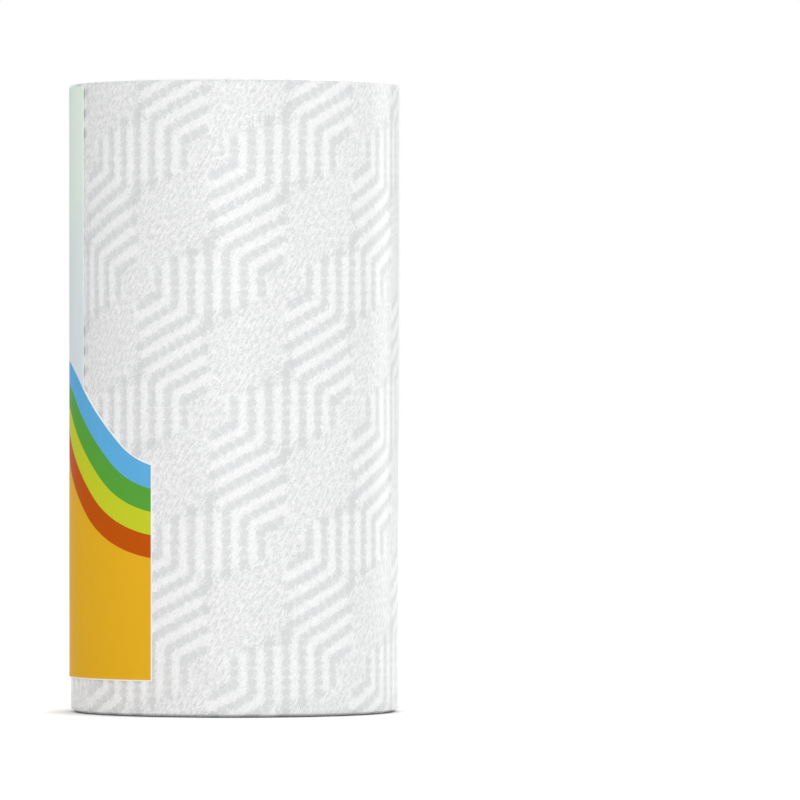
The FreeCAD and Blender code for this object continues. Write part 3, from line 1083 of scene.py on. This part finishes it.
def floor_material(studio):
    """A white floor that keeps the roll's shadow, with a painted contact shadow: its white glow
    dims near the roll's foot.
    """
    material, tree, output = new_material("floor_white")
    path = add_node(tree, "LightPath").outputs
    matt = add_node(tree, "BsdfDiffuse", {"Color": FLOOR_COLOUR})
    seen = reckon(tree, "MAXIMUM", path["Is Camera Ray"], path["Is Glossy Ray"])
    seen = reckon(tree, "MAXIMUM", seen, path["Is Transmission Ray"])
    # Painted contact shadow: the glow that the camera sees dims where the roll closes the floor in
    painted_contact_shadow = add_node(tree, "AmbientOcclusion", {"Distance": studio.contact_shadow_reach}).outputs["AO"]
    painted_contact_shadow = reckon(tree, "POWER", painted_contact_shadow, studio.contact_shadow_depth)
    level = reckon(tree, "MULTIPLY", reckon(tree, "MULTIPLY", seen, painted_contact_shadow), studio.floor_glow)
    glow = add_node(tree, "Emission", {"Strength": level})
    both = add_node(tree, "AddShader", {0: matt.outputs[0], 1: glow.outputs[0]})
    show(tree, output, both)
    return material


class ROLL_OT_stage(bpy.types.Operator):
    """Set up the white floor, the soft light and the camera"""

    bl_idname = "towel_roll.stage"
    bl_label = "Studio"

    def execute(self, context):
        studio = context.scene.studio
        self.floor(studio)
        self.world(context.scene, studio)
        self.lamp("key_lamp", studio.key_power)
        self.lamp("front_lamp", studio.front_power)
        self.lamp("rim_lamp", studio.rim_power)
        self.lamp("top_lamp", studio.top_power)
        self.camera(context.scene, studio)
        context.scene.view_settings.view_transform = "Standard"
        return {"FINISHED"}

    @staticmethod
    def floor(studio):
        """A wide plain floor under the roll."""
        bpy.ops.object.select_all(action="DESELECT")
        bpy.ops.mesh.primitive_plane_add(size=FLOOR_SIZE)
        floor = bpy.context.object
        floor.name = "floor"
        floor.data.materials.append(floor_material(studio))

    @staticmethod
    def world(scene, studio):
        """White to the camera, also through the film, and a plain even light on the roll."""
        world = bpy.data.worlds.new("studio_world")
        scene.world = world
        world.use_nodes = True
        tree = world.node_tree
        tree.nodes.clear()
        path = add_node(tree, "LightPath").outputs
        seen = reckon(tree, "MAXIMUM", path["Is Camera Ray"], path["Is Transmission Ray"])
        extra = reckon(tree, "MULTIPLY", seen, 1 - studio.world_level)
        strength = reckon(tree, "ADD", extra, studio.world_level)
        light = add_node(tree, "Background", {"Color": (1, 1, 1, 1), "Strength": strength})
        output = add_node(tree, "OutputWorld")
        tree.links.new(light.outputs[0], output.inputs["Surface"])

    @staticmethod
    def lamp(name, power):
        """A soft rectangular lamp that faces the middle of the roll."""
        place, size = LAMPS[name]
        bpy.ops.object.light_add(type="AREA", location=place)
        lamp = bpy.context.object
        lamp.name = name
        lamp.data.shape = "RECTANGLE"
        lamp.data.size, lamp.data.size_y = size
        lamp.data.energy = power
        middle = (TOWEL_LOW + TOWEL_HIGH) / 2
        lamp.rotation_euler = (middle - lamp.location).to_track_quat("-Z", "Y").to_euler()

    @staticmethod
    def camera(scene, studio):
        """A level camera at the photograph's distance, side and height."""
        place = (studio.camera_side, -studio.camera_distance, studio.camera_height)
        bpy.ops.object.camera_add(location=place, rotation=(TURN / 4, 0, 0))
        camera = bpy.context.object
        camera.data.lens = studio.lens
        camera.data.sensor_width = SENSOR_WIDTH
        camera.data.clip_end = SIGHT
        scene.camera = camera


class ROLL_PT_panel(bpy.types.Panel):
    """Lists the roll's sizes and colours, and a button for each piece"""

    bl_label = "Towel roll"
    bl_idname = "ROLL_PT_panel"
    bl_space_type = "VIEW_3D"
    bl_region_type = "UI"
    bl_category = "Towel roll"

    def draw(self, context):
        for name, kind in SETTINGS.items():
            box = self.layout.box()
            for entry in kind.__annotations__:
                box.prop(getattr(context.scene, name), entry)
        for operator in OPERATORS:
            self.layout.operator(operator.bl_idname)


OPERATORS = (
    ROLL_OT_outer_turn, ROLL_OT_wound_turns, ROLL_OT_core, ROLL_OT_film, ROLL_OT_print,
    ROLL_OT_stage,
)
SETTINGS = {
    "towel": TowelSettings, "film": FilmSettings, "ink": InkSettings,
    "board": BoardSettings, "studio": StudioSettings,
}


def register():
    """Registers the classes and ties the settings to the scene."""
    for kind in (*SETTINGS.values(), *OPERATORS, ROLL_PT_panel):
        bpy.utils.register_class(kind)
    for name, kind in SETTINGS.items():
        setattr(bpy.types.Scene, name, bpy.props.PointerProperty(type=kind))


def unregister():
    """Takes back what register does."""
    for name in SETTINGS:
        delattr(bpy.types.Scene, name)
    for kind in (*SETTINGS.values(), *OPERATORS, ROLL_PT_panel):
        bpy.utils.unregister_class(kind)


def main():
    register()
    bpy.ops.towel_roll.outer_turn()
    bpy.ops.towel_roll.wound_turns()
    bpy.ops.towel_roll.core()
    bpy.ops.towel_roll.film()
    bpy.ops.towel_roll.print()
    bpy.ops.towel_roll.stage()


if __name__ == "__main__":
    main()
